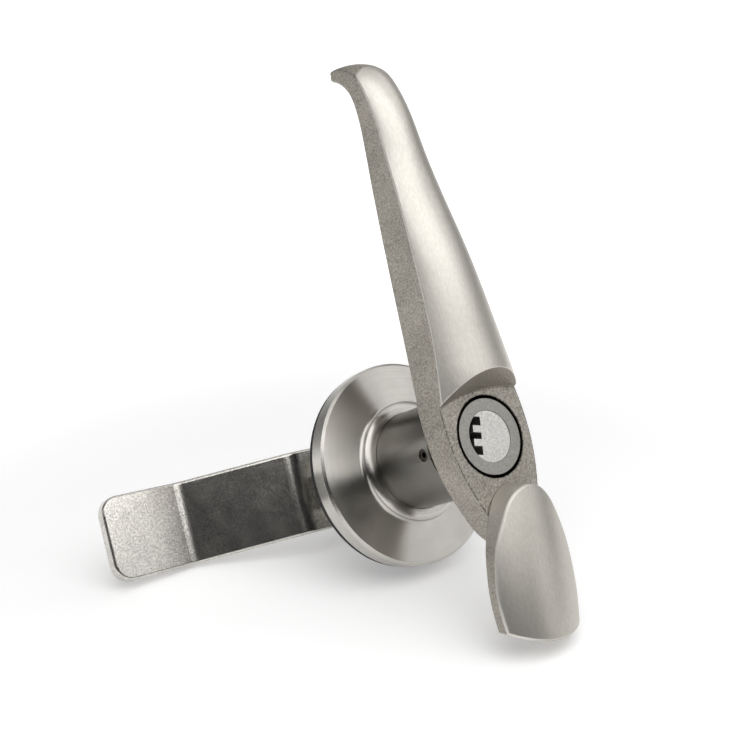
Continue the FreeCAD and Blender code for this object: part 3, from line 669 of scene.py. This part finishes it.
def blasted_metal(name, colour, roughness, grain_mm, relief, spots=0.1):
    """A metal with an even fine grain, lighter and darker by the share of spots."""
    material, tree = new_material(name)
    place = add(tree, "TexCoord")
    cloud = add(tree, "TexNoise", {
        "Vector": place.outputs["Object"],
        "Scale": 1 / (blasted_cloud_mm * MM),
        "Detail": 4.0,
    })
    grain = add(tree, "TexNoise", {
        "Vector": place.outputs["Object"],
        "Scale": 1 / (grain_mm * MM),
        "Detail": 2.0,
    })
    speckle = add(tree, "Mix", {0: 0.25, 2: grain.outputs["Fac"], 3: cloud.outputs["Fac"]})
    shade = add(tree, "MapRange", {
        "Value": speckle.outputs[0],
        "From Min": 0.3,
        "From Max": 0.7,
        "To Min": 1.0 - spots,
        "To Max": 1.0 + spots,
    }, clamp=False)
    tint = add(tree, "Mix", {
        0: 1.0,
        6: linear(colour),
        7: shade.outputs[0],
    }, data_type="RGBA", blend_type="MULTIPLY")
    gloss = add(tree, "MapRange", {
        "Value": cloud.outputs["Fac"],
        "From Min": 0.2,
        "From Max": 0.8,
        "To Min": roughness * 0.9,
        "To Max": roughness * 1.1,
    }, clamp=False)
    rounded = add(tree, "Bevel", {"Radius": blasted_rounding_mm * MM}, samples=4)
    bump = add(tree, "Bump", {
        "Strength": relief,
        "Distance": blasted_relief_mm * MM,
        "Height": grain.outputs["Fac"],
        "Normal": rounded.outputs[0],
    })
    shader = add(tree, "BsdfPrincipled", {
        "Base Color": tint.outputs[2],
        "Metallic": 1.0,
        "Roughness": gloss.outputs[0],
        "Normal": bump.outputs[0],
    })
    finish_material(tree, shader)
    return material


sleeve_metal = blasted_metal("satin_plated_sleeve", "#9A9893", plate_roughness, plate_grain_mm,
                             relief=0.15, spots=0.2)
plug_metal = blasted_metal("satin_plated_plug", "#CFCDC9", plate_roughness, plate_grain_mm,
                           relief=0.12, spots=0.25)
wafer_brass = blasted_metal("stamped_brass", "#C8A860", plate_roughness, plate_grain_mm,
                            relief=0.1)
dress("cylinder_body", sleeve_metal)
dress("lock_plug", plug_metal)
dress("wafers", wafer_brass)


# Cam, stop disc, bolt and crank: stainless strip, stamped and bent, then tumbled with stones.
# That leaves rolled rims and a bright mottled face, with grain drawn coarser than real.
cam_steel = blasted_metal("tumbled_stainless_strip", "#CBC8C2", roughness=0.24, grain_mm=0.4,
                          relief=0.12, spots=0.4)
for node in ("cam", "stop_disc", "lock_bolt", "plug_crank"):
    dress(node, cam_steel)


# Fasteners: a nut, washer and screw of steel, zinc plated to a cool pale grey,
# and clips, spring washers and the cover's pin of bare spring steel, which is darker.
fastener_grain_mm = 0.5
plated = blasted_metal("zinc_plate", "#C9CACA", plate_roughness, fastener_grain_mm, relief=0.1)
for node in ("barrel_nut", "cam_washer", "cam_screw"):
    dress(node, plated)
spring_steel = blasted_metal("spring_steel", "#8B8B8A", plate_roughness, fastener_grain_mm,
                             relief=0.1)
for node in ("tooth_washer", "cam_spring_washer", "retaining_ring", "plug_clip", "pin_clip",
             "pivot_spring", "cover_pin"):
    dress(node, spring_steel)


# Grub screw: a short steel screw with a socket, sunk a little below the neck's side.
# Its near-black colour is painted shade for its deep hole, and shows as a dark dot with a dull
# sheen.
screw_steel = blasted_metal("painted_shade_grub_screw", "#45433F", roughness=0.4, grain_mm=0.4,
                            relief=0.1)
dress("cylinder_grub_screw", screw_steel)


# Thrust washer: a plain ring under the neck's shoulder, stamped from white acetal sheet,
# which is smooth and faintly waxy.
acetal_cloud_mm = 3.0
acetal, tree = new_material("white_acetal")
place = add(tree, "TexCoord")
cloud = add(tree, "TexNoise", {
    "Vector": place.outputs["Object"],
    "Scale": 1 / (acetal_cloud_mm * MM),
})
gloss = add(tree, "MapRange", {"Value": cloud.outputs["Fac"], "To Min": 0.35, "To Max": 0.5})
shader = add(tree, "BsdfPrincipled", {
    "Base Color": linear("#E4E2DA"),
    "Roughness": gloss.outputs[0],
})
finish_material(tree, shader)
dress("thrust_washer", acetal)
